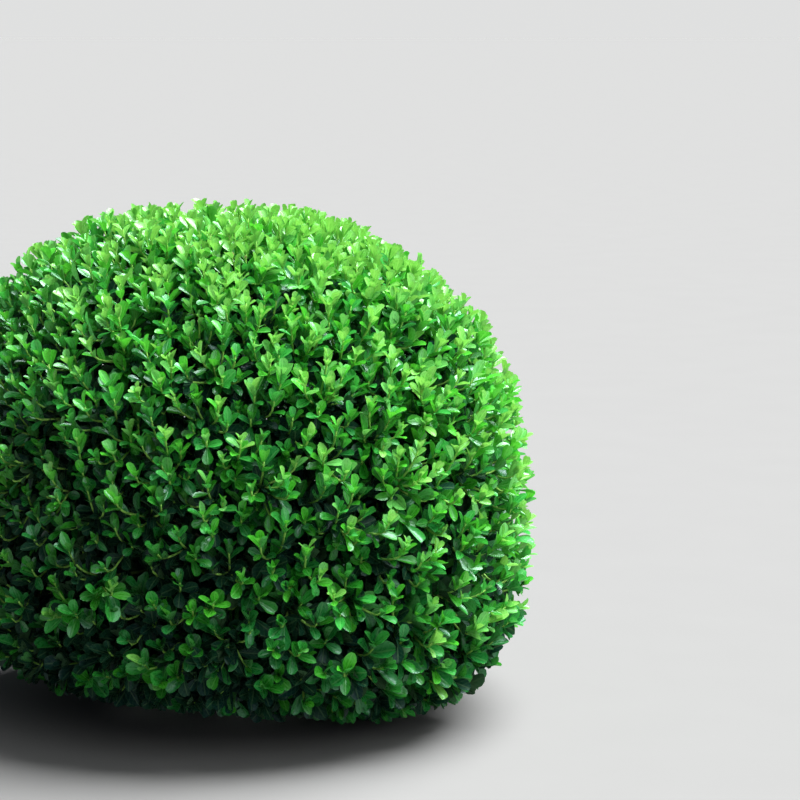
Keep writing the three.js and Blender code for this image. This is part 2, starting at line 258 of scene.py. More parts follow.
# Looks of branches, twigs and shoots
STREAK_SHAPE = (9.0, 2.5, 1.0)
STREAKS = (2.0, 4.0)
STREAK_EDGE = (0.35, 0.65)
STREAK_HEIGHT = 0.4
SCAR_WAVES = 50.0
SCAR_EDGE = (0.93, 1.0)
SCAR_STRENGTH = 0.25
TIP_EDGE = (0.05, 0.5)
TWIG_SHADE = (0.72, 0.76, 0.72, 1)
TWIG_ROUGHNESS = (0.75, 0.5)
TWIG_GLOSS = 0.35
TWIG_RELIEF = (0.0004, 0.6)
TWIG_END = 0.3  # a twig's end has that share of a twig's colour and of a shoot's

# Looks of the bark
BARK_WAVES = (230.0, 4.0)
BARK_WARP = (0.009, 0.009, 0.009)
BARK_CELLS = 290.0
BARK_GRAIN = (420.0, 5.0)
BARK_PATCHES = (60.0, 2.0)
FISSURE_EDGE = (0.0, 0.30)
PATCH_EDGE = (0.52, 0.66)
PATCH_STRENGTH = 0.55
BARK_LIGHT = (1.35, 1.35, 1.40, 1)
ALGAE = (0.10, 0.12, 0.05)
SPECK_HEIGHT = 0.4
BARK_ROUGHNESS = (0.95, 0.8)
BARK_GLOSS = 0.2
BARK_RELIEF = (0.001, 0.6)
NOISE_RANGE = (0.3, 0.7)  # where most values of a noise lie
NOISE_MIDDLE = (0.25, 0.75)

# The stage
KEY_PLACE = (1.35, 0.25, 2.9)  # the soft light comes from there towards the origin
FILL_PLACE = (1.1, -2.1, 1.6)  # and a weak one from there
FLOOR_DEPTH = 0.02
FLOOR_MOTTLE = (9.0, 4.0)
FLOOR_SHADE = 0.96
FLOOR_ROUGHNESS = 0.9
CAMERA_PLACE = (0, -2.360, 0.644)
CAMERA_PITCH = math.atan2(370, 2500)  # how far it looks down
CAMERA_TURN = -0.0655
CAMERA_SENSOR = 36


def setting(kind, **fixed):
    """A maker of settings of one kind, which takes their default value, name and description."""

    def make(default, name, description):
        return kind(default=default, name=name, description=description, **fixed)

    return make


length = setting(bpy.props.FloatProperty, subtype="DISTANCE", unit="LENGTH", precision=4)
share = setting(bpy.props.FloatProperty, subtype="FACTOR", min=0, max=1)
number = setting(bpy.props.FloatProperty)
angle = setting(bpy.props.FloatProperty, subtype="ANGLE", unit="ROTATION")
focus = setting(bpy.props.FloatProperty, unit="CAMERA")
count = setting(bpy.props.IntProperty, min=1)
colour = setting(bpy.props.FloatVectorProperty, subtype="COLOR", size=3, min=0, max=1)


class CrownShape(bpy.types.PropertyGroup):
    """The outline of the clipped crown."""

    width: length(0.562, "Width", "Width of the crown at its waist")
    top: length(0.480, "Top", "Height of the crown's top")
    foot: length(0.020, "Foot", "Height of the crown's underside")
    waist: length(0.190, "Waist", "Height of the widest part")
    shoulder_power: number(2.43, "Shoulder", "Squareness above the waist: 2 is an ellipse")
    skirt_power: number(3.4, "Skirt", "Squareness below the waist: 2 is an ellipse")


class WoodSizes(bpy.types.PropertyGroup):
    """The stem, its boughs and the wood that grows on from them."""

    stem_radius: length(0.019, "Stem Radius", "Radius of the stem above its flare")
    stem_tip_radius: length(0.013, "Stem Tip Radius", "Radius of the stem where it forks")
    stem_height: length(0.096, "Stem Height", "Height of the fork")
    stem_lean: length(0.007, "Stem Lean", "How far the fork is to one side")
    flare_gain: number(0.85, "Flare", "How much wider the stem is at the ground, as a share")
    flare_height: length(0.016, "Flare Height", "Height over which the flare fades")
    root_ridges: count(5, "Root Ridges", "Ridges round the foot of the stem")
    ridge_depth: share(0.12, "Ridge Depth", "How far a ridge stands out, as a share of the radius")
    bough_radius: length(0.009, "Bough Radius", "Radius of a bough where it leaves the stem")
    bough_tip_radius: length(0.0045, "Bough Tip Radius", "Radius of a bough at its end")
    branch_radius: length(0.0040, "Branch Radius", "Radius of a branch at its root")
    twig_radius: length(0.0022, "Twig Radius", "Radius of a twig at its root")
    shoot_radius: length(0.0014, "Shoot Radius", "Radius of a shoot at its root")
    shoot_tip_radius: length(0.0009, "Shoot Tip Radius", "Radius of a shoot under its tip leaves")


class GrowthRule(bpy.types.PropertyGroup):
    """How many limbs grow at each step, and how far out they reach."""

    branches: count(46, "Branches", "Branches that grow on from the boughs")
    branch_reach: share(0.66, "Branch Reach", "Where branches end, as a share of the crown's reach")
    twigs: count(420, "Twigs", "Twigs that fork from the branches")
    twig_reach: share(0.82, "Twig Reach", "Where twigs end, as a share of the crown's reach")
    outer_shoots: count(1800, "Outer Shoots", "Shoots that make the clipped surface")
    inner_shoots: count(2200, "Inner Shoots", "Shaded shoots that end below the surface")
    lowest: angle(math.radians(-52), "Lowest", "Elevation of the lowest shoots, seen from the crown's middle")
    tip_depth: length(0.0115, "Tip Depth", "How far below the outline a shoot's tip usually is")
    tip_spread: length(0.0090, "Tip Spread", "How unevenly the shears left the tips")
    seed: count(41, "Seed", "Start of the random draw")


class LeafSizes(bpy.types.PropertyGroup):
    """Leaves and how they stand on their shoots."""

    leaf_length: length(0.0168, "Leaf Length", "Length of a full-grown leaf high up on the crown")
    pair_gap: length(0.0100, "Pair Gap", "Bare shoot between two pairs of full-grown leaves")
    tip_lean: angle(math.radians(24), "Tip Lean", "How far the leaves at a shoot's tip lean out")
    full_lean: angle(math.radians(52), "Full Lean", "How far full-grown leaves lean out")
    light_pull: share(0.42, "Light Pull", "How much a leaf turns its face from its shoot's tip to the sky")
    clipped_share: share(0.10, "Clipped Share", "Share of the shoots whose tip leaves the shears cut")


class PlantColours(bpy.types.PropertyGroup):
    """The plain colours of wood and leaves."""

    bark: colour((0.150, 0.112, 0.075), "Bark", "Corky bark of the stem and boughs")
    furrow: colour((0.030, 0.021, 0.014), "Furrow", "The depth of its fissures")
    twig: colour((0.115, 0.100, 0.042), "Twig", "Young bark of branches and twigs")
    shoot: colour((0.270, 0.540, 0.090), "Shoot", "Green skin of this year's shoots")
    deep: colour((0.0066, 0.044, 0.023), "Deep Leaf", "Old leaves in the shade")
    mature: colour((0.0195, 0.235, 0.0165), "Mature Leaf", "Full-grown leaves")
    fresh: colour((0.058, 0.440, 0.031), "Fresh Leaf", "Leaves near a shoot's tip")
    young: colour((0.178, 0.530, 0.092), "Young Leaf", "Leaves that have just opened")
    faded: colour((0.560, 0.470, 0.230), "Faded Leaf", "The few dry leaves and clipped scraps")


class StageSettings(bpy.types.PropertyGroup):
    """Floor, lights and camera."""

    floor: colour((0.1695, 0.1635, 0.1590), "Floor", "Colour of the floor")
    floor_size: length(400.0, "Floor Size", "Width of the floor")
    sky: colour((0.78, 0.90, 1.0), "Sky", "Colour of the soft light from all sides")
    sky_strength: number(0.13, "Sky Strength", "Strength of the soft light from all sides")
    wall: colour((0.742, 0.747, 0.745), "Backdrop", "Plain colour behind the floor")
    light_tint: colour((0.94, 0.98, 1.0), "Light Tint", "Colour of the key light and the fill light")
    key_strength: number(15.2, "Key Strength", "Strength of the soft light from above and the right")
    key_softness: angle(math.radians(50), "Key Softness", "How wide that light is in the sky")
    fill_strength: number(1.6, "Fill Strength", "Strength of the weak light from the front")
    fill_softness: angle(math.radians(50), "Fill Softness", "How wide that light is in the sky")
    lens: focus(112.5, "Lens", "Focal length of the camera")


SETTINGS = {
    "box_crown": CrownShape,
    "box_wood": WoodSizes,
    "box_growth": GrowthRule,
    "box_leaves": LeafSizes,
    "box_colours": PlantColours,
    "box_stage": StageSettings,
}


def unit(vectors):
    return vectors / np.linalg.norm(vectors, axis=-1, keepdims=True)


def smooth_step(values, low, high):
    part = np.clip((values - low) / (high - low), 0, 1)
    return part * part * (3 - 2 * part)


def turned(vectors, axes, angles):
    """Vectors turned about unit axes."""
    cosine = np.cos(angles)[:, None]
    sine = np.sin(angles)[:, None]
    along = np.sum(vectors * axes, axis=1, keepdims=True)
    return vectors * cosine + np.cross(axes, vectors) * sine + axes * along * (1 - cosine)


def across(vectors, headings):
    """What is left of vectors square to unit headings, as unit vectors."""
    return unit(vectors - np.sum(vectors * headings, axis=-1, keepdims=True) * headings)


def direction(azimuth, elevation):
    """Unit vectors from azimuths, counted from +X towards +Y, and elevations."""
    level = np.cos(elevation)
    rise = np.sin(elevation) + 0 * azimuth
    return np.stack([level * np.cos(azimuth), level * np.sin(azimuth), rise], axis=-1)


def crown_reach(ways, crown):
    """How far the crown's outline is from its centre in each direction."""
    above = ways[:, 2] >= 0
    rise = np.where(above, crown.top - crown.waist, crown.waist - crown.foot)
    power = np.where(above, crown.shoulder_power, crown.skirt_power)
    level = 2 * np.hypot(ways[:, 0], ways[:, 1]) / crown.width
    plain = (level**power + (np.abs(ways[:, 2]) / rise) ** power) ** (-1 / power)
    swell = np.ones(len(ways))
    for azimuth, elevation, spread, gain in SWELLS:
        middle = direction(math.radians(azimuth), math.radians(elevation))
        apart = np.arccos(np.clip(ways @ middle, -1, 1)) / math.radians(spread)
        swell += gain * np.exp(-apart * apart)
    return plain * swell


def crown_centre(crown):
    return UP * crown.waist


def depth_inside(points, crown):
    """How deep each point is inside the crown's outline, towards its centre. Outside it is below 0."""
    arms = points - crown_centre(crown)
    distance = np.linalg.norm(arms, axis=1)
    return crown_reach(arms / distance[:, None], crown) - distance


def even_ways(amount, crown, lowest, turn, crowding, random):
    """Directions from the top down on a golden-angle spiral that is even over the crown's surface, or crowded
    by some share at the top, each moved a little at random. The surface is added up ring by ring."""
    elevation = np.linspace(math.pi / 2, lowest, AREA_RINGS + 1)
    rings = direction(np.zeros_like(elevation), elevation)
    outline = rings * crown_reach(rings, crown)[:, None]
    strips = np.linalg.norm(np.diff(outline, axis=0), axis=1) * (outline[1:, 0] + outline[:-1, 0])
    strips *= 1 + crowding * np.clip(np.sin(elevation[1:]), 0, 1)
    above = np.concatenate([[0], np.cumsum(strips)])
    step = np.arange(amount)
    own_elevation = np.interp((step + 0.5) / amount * above[-1], above, elevation)
    ways = direction(step * GOLDEN_ANGLE + turn, own_elevation)
    spacing = math.sqrt(math.pi / amount)
    return unit(ways + random.normal(0, WAY_SPREAD * spacing, ways.shape))


def headings_of(ways, kind, random):
    """The heading in which each limb ends: outwards, and up to the light but for the lowest."""
    pull = random.uniform(*kind["pull"], len(ways)) * smooth_step(ways[:, 2], *kind["fade"])
    return unit(ways + UP * pull[:, None])


class Limbs:
    """Limbs of one kind: the points from root to tip of each, and its radius at each of them."""

    def __init__(self, points, radii):
        self.points = points
        self.radii = radii

    def headings(self):
        return unit(np.gradient(self.points, axis=1))

    def at_from_tip(self, distance):
        """Place and heading of each limb at a distance back from its tip, and whether it is that long."""
        back = self.points[:, ::-1]
        steps = np.linalg.norm(np.diff(back, axis=1), axis=2)
        run = np.concatenate([np.zeros((len(back), 1)), np.cumsum(steps, axis=1)], axis=1)
        step = np.clip((run < distance[:, None]).sum(axis=1) - 1, 0, steps.shape[1] - 1)
        row = np.arange(len(back))
        part = ((distance - run[row, step]) / steps[row, step])[:, None]
        start = back[row, step]
        end = back[row, step + 1]
        return start + (end - start) * part, unit(start - end), distance < run[:, -1]


def limbs_grown_on(parents, kind, tips, growth, radii):
    """Limbs that each leave the parent that fits best, with its heading, and turn into their own."""
    first = int(kind["bearing"] * parents.points.shape[1])
    roots = parents.points[:, first:].reshape(-1, 3)
    headings = parents.headings()[:, first:].reshape(-1, 3)
    girths = parents.radii[:, first:].reshape(-1)
    spans = tips[:, None] - roots[None]
    distances = np.linalg.norm(spans, axis=2)
    agreement = np.einsum("ijk,jk->ij", spans, headings) / distances
    best = (distances * (1 + STRAY_COST * (1 - agreement))).argmin(axis=1)
    distance = distances[np.arange(len(tips)), best][:, None, None]
    start = roots[best][:, None]
    leave = start + headings[best][:, None] * distance * LEAVE_SHARE
    end = tips[:, None]
    arrive = end - growth[:, None] * distance * kind["arrive"]
    t = np.linspace(0, 1, kind["points"])[None, :, None]
    line = (1 - t) ** 3 * start + 3 * (1 - t) ** 2 * t * leave + 3 * (1 - t) * t**2 * arrive + t**3 * end
    root_radius, tip_radius = radii
    root = np.minimum(root_radius, girths[best] * ROOT_SHARE)[:, None]
    return Limbs(line, root + (np.minimum(tip_radius, root) - root) * t[0, :, 0])


def stem_line(wood, shares):
    """Points on the stem's centre line."""
    top = np.array([wood.stem_lean, wood.stem_lean / 2, wood.stem_height])
    t = np.asarray(shares)[..., None]
    return 2 * t * (1 - t) * UP * wood.stem_height / 2 + t**2 * top


def bough_corners(crown, wood):
    """Start, elbow and tip of each bough's curve, from inside the stem outwards and up."""
    boughs = []
    for i in range(SIDE_BOUGHS):
        leaves, elevation = SIDE_KINDS[i % len(SIDE_KINDS)]
        boughs.append((leaves + LEAVES_STEP * i, FIRST_AZIMUTH + 360 * i / SIDE_BOUGHS, elevation))
    corners = []
    bend = np.array([ELBOW_OUT, ELBOW_OUT, ELBOW_UP])
    for leaves, azimuth, elevation in boughs + [LEADER]:
        start = stem_line(wood, leaves)
        way = direction(math.radians(azimuth), math.radians(elevation))
        tip = crown_centre(crown) + way * crown_reach(way[None], crown)[0] * HOLLOW_SHARE * OVERRUN
        corners.append((start, start + (tip - start) * bend, tip))
    return corners


def curve_points(corners, end, steps):
    """Points on a bough's curve, up to a share of it."""
    start, elbow, tip = corners
    t = np.linspace(0, end, steps)[:, None]
    return (1 - t) ** 2 * start + 2 * t * (1 - t) * elbow + t**2 * tip


def bough_share(corners, crown):
    """The share of a bough's curve that is inside the crown's bare middle."""
    arms = curve_points(corners, 1, WALL_STEPS) - crown_centre(crown)
    width = HOLLOW_SHARE * crown.width / 2
    height = np.where(arms[:, 2] < 0, HOLLOW_DROP, HOLLOW_SHARE * (crown.top - crown.waist))
    inside = np.hypot(np.hypot(arms[:, 0], arms[:, 1]) / width, arms[:, 2] / height) < 1
    return float(np.linspace(0, 1, WALL_STEPS)[inside][-1])


def bough_length(corners, end):
    steps = np.diff(curve_points(corners, end, LENGTH_STEPS), axis=0)
    return float(np.linalg.norm(steps, axis=1).sum())


def bough_limbs(crown, wood):
    """The boughs as limbs for the branches to grow on from."""
    lines = []
    for corners in bough_corners(crown, wood):
        lines.append(curve_points(corners, bough_share(corners, crown), BOUGH_POINTS))
    radii = np.linspace(wood.bough_radius, wood.bough_tip_radius, BOUGH_POINTS)
    return Limbs(np.array(lines), np.tile(radii, (len(lines), 1)))


class Plant:
    """Everything that grows on from the boughs, drawn afresh from the settings and their seed: the limbs of
    each kind, and the directions from the crown's centre in which they end."""

    def __init__(self, scene):
        wood, growth = scene.box_wood, scene.box_growth
        self.crown, self.growth = scene.box_crown, growth
        self.random = np.random.default_rng(growth.seed)
        self.limbs = {"boughs": bough_limbs(self.crown, wood)}
        self.ways = {}
        shoot_radii = (wood.shoot_radius, wood.shoot_tip_radius)
        self.grow("branches", "boughs", growth.branches, (wood.branch_radius, wood.twig_radius),
                  lambda ways: self.short_of(ways, growth.branch_reach))
        self.grow("twigs", "branches", growth.twigs, (wood.twig_radius, wood.shoot_radius),
                  lambda ways: self.short_of(ways, growth.twig_reach))
        self.grow("outer", "twigs", growth.outer_shoots, shoot_radii, self.under_outline)
        self.grow("inner", "twigs", growth.inner_shoots, shoot_radii, self.in_the_shade)

    def grow(self, name, parents, amount, radii, depth):
        kind = LIMB_KINDS[name]
        ways = even_ways(amount, self.crown, self.growth.lowest, kind["turn"], kind["crowding"], self.random)
        headings = headings_of(ways, kind, self.random)
        reach = crown_reach(ways, self.crown) - depth(ways)
        tips = crown_centre(self.crown) + ways * reach[:, None]
        self.ways[name] = ways
        self.limbs[name] = limbs_grown_on(self.limbs[parents], kind, tips, headings, radii)

    def short_of(self, ways, reach):
        """Depths of tips that end near a share of the crown's reach."""
        uneven = self.random.uniform(-REACH_SPREAD, REACH_SPREAD, len(ways))
        return crown_reach(ways, self.crown) * (1 - reach + uneven)

    def under_outline(self, ways):
        """Depths of tips that the shears left."""
        uneven = self.random.normal(0, self.growth.tip_spread, len(ways))
        return np.maximum(self.growth.tip_depth + uneven, LEAST_DEPTH)

    def in_the_shade(self, ways):
        """Depths of tips that end below the clipped surface."""
        low = 1 - smooth_step(ways[:, 2], *SHADE_SINES)
        deeper = self.random.uniform(*SHADE_DEPTHS, len(ways)) * (1 - SHADE_LOSS * low)
        return self.growth.tip_depth + deeper


def spray_leaves(plant, name, scene, random):
    """The leaves on all limbs of one kind, as arrays: where each is rooted, which way it points and faces,
    its length, width and curl, and the numbers of its blade and its tint."""
    spray = SPRAYS[name]
    sizes = scene.box_leaves
    shoots, ways = plant.limbs[spray["limbs"]], plant.ways[spray["limbs"]]
    amount = len(ways)
    outer = name == "outer"
    youth = random.beta(*YOUTH_IN_LIGHT, amount) if outer else random.uniform(*YOUTH_IN_SHADE, amount)
    tone = random.normal(0, 1, amount)
    stretch = random.uniform(*GAP_STRETCH, amount)
    clipped = random.uniform(0, 1, amount) < (sizes.clipped_share if outer else 0)
    _, heading, _ = shoots.at_from_tip(np.full(amount, NEAR_TIP))
    square = across(np.cross(heading, unit(random.normal(0, 1, (amount, 3)))), heading)
    first_side = turned(square, heading, random.uniform(0, math.tau, amount))
    low = 1 - smooth_step(ways[:, 2], *LOW_SINES)
    sky = unit(UP + ways * (SKY_ASIDE + SKY_ASIDE_LOW * low)[:, None])
    batches = []
    distance = np.full(amount, BUD_PLACE)
    for pair in range(-1 if outer else 0, spray["pairs"]):
        root, heading, there = shoots.at_from_tip(distance)
        side = across(first_side, heading)
        if pair % 2:
            side = np.cross(heading, side)
        opening = 1 - np.exp(-(pair + OPEN_START - OPEN_YOUTH * youth) / OPEN_PAIRS)
        lean = sizes.tip_lean + (sizes.full_lean - sizes.tip_lean) * np.clip(opening, 0, 1)
        grown = 1 - YOUNG_LOSS * youth * np.exp(-pair / YOUNG_PAIRS)
        size = spray["size"] * sizes.leaf_length * (1 + LOW_GAIN * low) * grown
        if pair < 0:
            lean = BUD_LEAN
            size = np.full(amount, BUD_SIZE)
        # A leaf's age with painted shade: its tint gets darker deep inside the crown and low down
        age_and_painted_light = (
            AGE_BY_PAIR * pair + depth_inside(root, plant.crown) / AGE_AND_SHADE_DEPTH + AGE_START
            + AGE_BY_YOUTH * (0.5 - youth) + PAINTED_SHADE_LOW * low + (AGE_TONE + AGE_TONE_LOW * low) * tone
        )
        for hand in (-1, 1):
            swing = lean + random.normal(0, LEAN_SPREAD, amount)
            aside = turned(side * hand, heading, random.normal(0, SIDE_SPREAD, amount))
            axis = heading * np.cos(swing)[:, None] + aside * np.sin(swing)[:, None]
            axis = unit(axis + sky * (LIFT * random.uniform(0, 1, amount))[:, None])
            light = heading * (1 - sizes.light_pull) + sky * sizes.light_pull
            face = turned(across(light, axis), axis, random.normal(0, FACE_SPREAD, amount))
            long = size * random.normal(1, LENGTH_SPREAD, amount)
            batches.append({
                "there": there,
                "root": root,
                "axis": axis,
                "face": face,
                "long": long,
                "full": long,
                "age_and_painted_light": age_and_painted_light + random.normal(0, AGE_SPREAD, amount),
                "wide": random.normal(*WIDTH_DRAW, amount),
                "curl": random.uniform(0, 1, amount),
                "pick": random.uniform(0, 1, amount),
                "pair": np.full(amount, pair),
                "clipped": clipped & (pair in CLIPPED_PAIRS),
                "young": long < sizes.leaf_length * YOUNG_BELOW,
                "height": ways[:, 2],
                "sun": ways @ LIT_SIDE,
            })
        if pair < 0:
            distance = distance + BUD_PLACE
        else:
            gap = FIRST_GAP + (1 - FIRST_GAP) * min(pair / FULL_GAP_PAIR, 1)
            distance = distance + stretch * spray["gap"] * sizes.pair_gap * gap
    leaves = {key: np.concatenate([batch[key] for batch in batches]) for key in batches[0]}
    leaves = fitted(leaves, plant.crown)
    leaves["blade"] = blade_numbers(leaves, outer)
    leaves["tint"] = tint_numbers(leaves)
    scraps = leaves["pick"] > 1 - SCRAP_SHARE
    leaves["tint"][scraps] = TINT_NUMBERS["faded"]
    leaves["long"][scraps] *= SCRAP_SIZE
    return leaves


def fitted(leaves, crown):
    """The leaves that their shoots are long enough for, shortened where they would pass the outline."""
    for _ in range(FIT_STEPS):
        tips = leaves["root"] + leaves["axis"] * leaves["long"][:, None]
        over = np.clip(-depth_inside(tips, crown) - OVERHANG, 0, None)
        leaves["long"] = leaves["long"] - FIT_GAIN * over
    keep = leaves["there"] & (leaves["long"] > LEAST_LEFT * leaves["full"])
    return {key: values[keep] for key, values in leaves.items()}


def blade_numbers(leaves, outer):
    """Which blade each leaf has."""
    if not outer:
        return np.full(len(leaves["pick"]), BLADE_NUMBERS["inner"])
    blade = np.full(len(leaves["pick"]), BLADE_NUMBERS["spoon"])
    blade[leaves["pick"] < OVAL_BELOW] = BLADE_NUMBERS["oval"]
    blade[leaves["pick"] < BROAD_BELOW] = BLADE_NUMBERS["broad"]
    blade[leaves["young"]] = BLADE_NUMBERS["young"]
    blade[leaves["clipped"]] = BLADE_NUMBERS["clipped"]
    blade[(leaves["pair"] > LAST_DRAWN_PAIR) | (leaves["pair"] < 0)] = BLADE_NUMBERS["inner"]
    return blade


def tint_numbers(leaves):
    """Which tint each leaf has, with painted light at the top and on the lit side and painted shade at the
    foot and away from the light. Low down a share of the leaves, picked by their curl, is bluer: a painted
    tint of the sky's light.
    """
    height = leaves["height"]
    # Painted light at the top and on the lit side, painted shade away from it and at the foot
    age_and_painted_light = leaves["age_and_painted_light"] - LIT_SIDE_GAIN * leaves["sun"] - PAINTED_LIGHT_TOP * smooth_step(height, *LIT_TOP_SINES)
    age_and_painted_light += PAINTED_SHADE_FOOT * (1 - smooth_step(height, *SHADED_FOOT_SINES))
    tint = len(AGE_BOUNDS) - np.searchsorted(AGE_BOUNDS, age_and_painted_light)
    painted_sky_tint = (height < SKY_TINT_BELOW) & (leaves["curl"] < SKY_TINT_SHARE)
    for warm, cold in SKY_TINTED.items():
        tint[painted_sky_tint & (tint == TINT_NUMBERS[warm])] = TINT_NUMBERS[cold]
    return tint


def deselect_all():
    if bpy.context.object and bpy.context.object.mode != "OBJECT":
        bpy.ops.object.mode_set(mode="OBJECT")
    bpy.ops.object.select_all(action="DESELECT")


def make_active(piece):
    deselect_all()
    bpy.context.view_layer.objects.active = piece
    piece.select_set(True)


def start_edit(piece, kind="VERT"):
    """Edit mode on one piece, with all of it selected."""
    make_active(piece)
    bpy.ops.object.mode_set(mode="EDIT")
    bpy.ops.mesh.select_mode(type=kind)
    bpy.ops.mesh.select_all(action="SELECT")


def end_edit():
    bpy.ops.object.mode_set(mode="OBJECT")


def new_piece(name):
    """Names the primitive that was just added."""
    piece = bpy.context.object
    piece.name = name
    piece.data.name = name
    return piece


def select_where(piece, test):
    """In edit mode, selects the vertices whose place passes a test, and no others."""
    bpy.ops.mesh.select_all(action="DESELECT")
    work = bmesh.from_edit_mesh(piece.data)
    for vertex in work.verts:
        vertex.select = test(vertex.co)
    work.select_flush(True)
    bmesh.update_edit_mesh(piece.data)


def apply_modifier(piece, kind, **values):
    make_active(piece)
    bpy.ops.object.modifier_add(type=kind)
    modifier = piece.modifiers[-1]
    for key, value in values.items():
        setattr(modifier, key, value)
    bpy.ops.object.modifier_apply(modifier=modifier.name)


def in_layout(places):
    """Places from 0 to 1 moved clear of the layout's rim."""
    return LAYOUT_RIM + (1 - 2 * LAYOUT_RIM) * places


def blade_shape(name, fold, droop):
    """One leaf along +Y with its upper side up: a grid whose rows are drawn to their widths, then folded
    along the midrib and bent from base to tip. Returns its points, faces and layout."""
    notch, half_widths = BLADES[name]
    rows = len(half_widths) - 1
    near = ROW_NEARNESS / rows
    deselect_all()
    bpy.ops.mesh.primitive_grid_add(x_subdivisions=2, y_subdivisions=rows, size=1, calc_uvs=True)
    leaf = new_piece(name)
    start_edit(leaf)
    bpy.ops.transform.translate(value=(0, 0.5, 0))
    for row, half in enumerate(half_widths):
        first = row / rows
        along = (1 - math.cos(math.pi * first)) / 2
        select_where(leaf, lambda place: abs(place.y - first) < near and abs(place.x) > RIB_NEARNESS)
        bpy.ops.transform.resize(value=(2 * half, 1, 1), center_override=(0, first, 0))
        bpy.ops.transform.translate(value=(0, 0, fold * half))
        select_where(leaf, lambda place: abs(place.y - first) < near)
        bpy.ops.transform.translate(value=(0, along - first, droop * along**2))
    select_where(leaf, lambda place: place.y > 1 - RIB_NEARNESS and abs(place.x) < RIB_NEARNESS)
    bpy.ops.transform.translate(value=(0, -notch, 0))
    end_edit()
    points = np.array([vertex.co[:] for vertex in leaf.data.vertices])
    faces = np.array([polygon.vertices[:] for polygon in leaf.data.polygons])
    layout = np.array([loop.uv[:] for loop in leaf.data.uv_layers[0].data]).reshape(len(faces), 4, 2)
    bpy.data.objects.remove(leaf)
    return points, faces, in_layout(layout)


def leaf_copies(flat, curled, leaves):
    """A copy of a blade for each leaf, between flat and curled, as the points of all of them."""
    local = flat + leaves["curl"][:, None, None] * (curled - flat)
    local = local * leaves["long"][:, None, None]
    side = np.cross(leaves["axis"], leaves["face"]) * leaves["wide"][:, None]
    return (
        leaves["root"][:, None]
        + local[..., 0:1] * side[:, None]
        + local[..., 1:2] * leaves["axis"][:, None]
        + local[..., 2:3] * leaves["face"][:, None]
    )


def joined_piece(name, batches):
    """One piece from batches of copies: the points of all copies, and the faces and layout they share."""
    if not batches:
        raise ValueError(f"{name} has nothing to join")
    points, corners, layouts, first = [], [], [], 0
    for copies, faces, layout in batches:
        amount, size = copies.shape[:2]
        starts = first + size * np.arange(amount)[:, None, None]
        points.append(copies.reshape(-1, 3))
        corners.append((faces[None] + starts).reshape(-1))
        layouts.append(np.tile(layout.reshape(1, -1, 2), (amount, 1, 1)).reshape(-1, 2))
        first += amount * size
    points = np.concatenate(points).astype(np.float32)
    corners = np.concatenate(corners).astype(np.int32)
    amount = len(corners) // 4
    mesh = bpy.data.meshes.new(name)
    mesh.vertices.add(len(points))
    mesh.vertices.foreach_set("co", points.ravel())
    mesh.loops.add(len(corners))
    mesh.loops.foreach_set("vertex_index", corners)
    mesh.polygons.add(amount)
    mesh.polygons.foreach_set("loop_start", np.arange(0, len(corners), 4, dtype=np.int32))
    mesh.polygons.foreach_set("use_smooth", np.ones(amount, dtype=bool))
    layer = mesh.uv_layers.new(name=LAYOUT)
    layer.data.foreach_set("uv", np.concatenate(layouts).astype(np.float32).ravel())
    mesh.update(calc_edges=True)
    piece = bpy.data.objects.new(name, mesh)
    bpy.context.scene.collection.objects.link(piece)
    return piece


def tube_batch(limbs, sides):
    """Round skins with an even number of sides for limbs, closed at both ends, with one layout that all
    share: round them and along them."""
    headings = limbs.headings()
    amount, rings = limbs.points.shape[:2]
    normal = across(np.cross(headings[:, 0], FIRST_SPOKE), headings[:, 0])
    turns = np.arange(sides) * math.tau / sides
    skin = np.empty((amount, rings, sides, 3))
    for ring in range(rings):
        heading = headings[:, ring]
        normal = across(normal, heading)
        binormal = np.cross(heading, normal)
        spokes = np.cos(turns)[:, None] * normal[:, None] + np.sin(turns)[:, None] * binormal[:, None]
        skin[:, ring] = limbs.points[:, ring, None] + limbs.radii[:, ring, None, None] * spokes
    faces, layout = [], []
    for ring in range(rings - 1):
        low, high = ring / (rings - 1), (ring + 1) / (rings - 1)
        here, there = ring * sides, (ring + 1) * sides
        for i in range(sides):
            left, right = i / sides, (i + 1) / sides
            beside = (i + 1) % sides
            faces.append([here + i, here + beside, there + beside, there + i])
            layout.append([(left, low), (right, low), (right, high), (left, high)])
    last = (rings - 1) * sides
    for i in range(1, sides - 1, 2):
        fan = [0, i, i + 1, i + 2]
        places = [(0.5 + CAP_WIDE * math.cos(turns[k]), CAP_HIGH * math.sin(turns[k])) for k in fan]
        faces.append([last + k for k in fan])
        layout.append([(u, 1 - CAP_PLACE + v) for u, v in places])
        faces.append(fan[::-1])
        layout.append([(u, CAP_PLACE + v) for u, v in places[::-1]])
    return skin.reshape(amount, rings * sides, 3), np.array(faces), in_layout(np.array(layout))


def straight_limb(name, long, radius_at, sides, rings):
    """A closed limb that stands on the origin, drawn up ring by ring from a round face."""
    deselect_all()
    bpy.ops.mesh.primitive_circle_add(vertices=sides, radius=radius_at(0), fill_type="NGON")
    limb = new_piece(name)
    start_edit(limb, "FACE")
    for ring in range(1, rings + 1):
        bpy.ops.mesh.extrude_region_move(TRANSFORM_OT_translate={"value": (0, 0, long / rings)})
        change = radius_at(ring / rings) / radius_at((ring - 1) / rings)
        bpy.ops.transform.resize(value=(change, change, 1), center_override=(0, 0, long * ring / rings))
    bpy.ops.mesh.select_all(action="SELECT")
    bpy.ops.mesh.normals_make_consistent(inside=False)
    end_edit()
    return limb


def drawn_out(limb, factor):
    start_edit(limb)
    bpy.ops.transform.resize(value=(1, 1, factor), center_override=(0, 0, 0))
    end_edit()


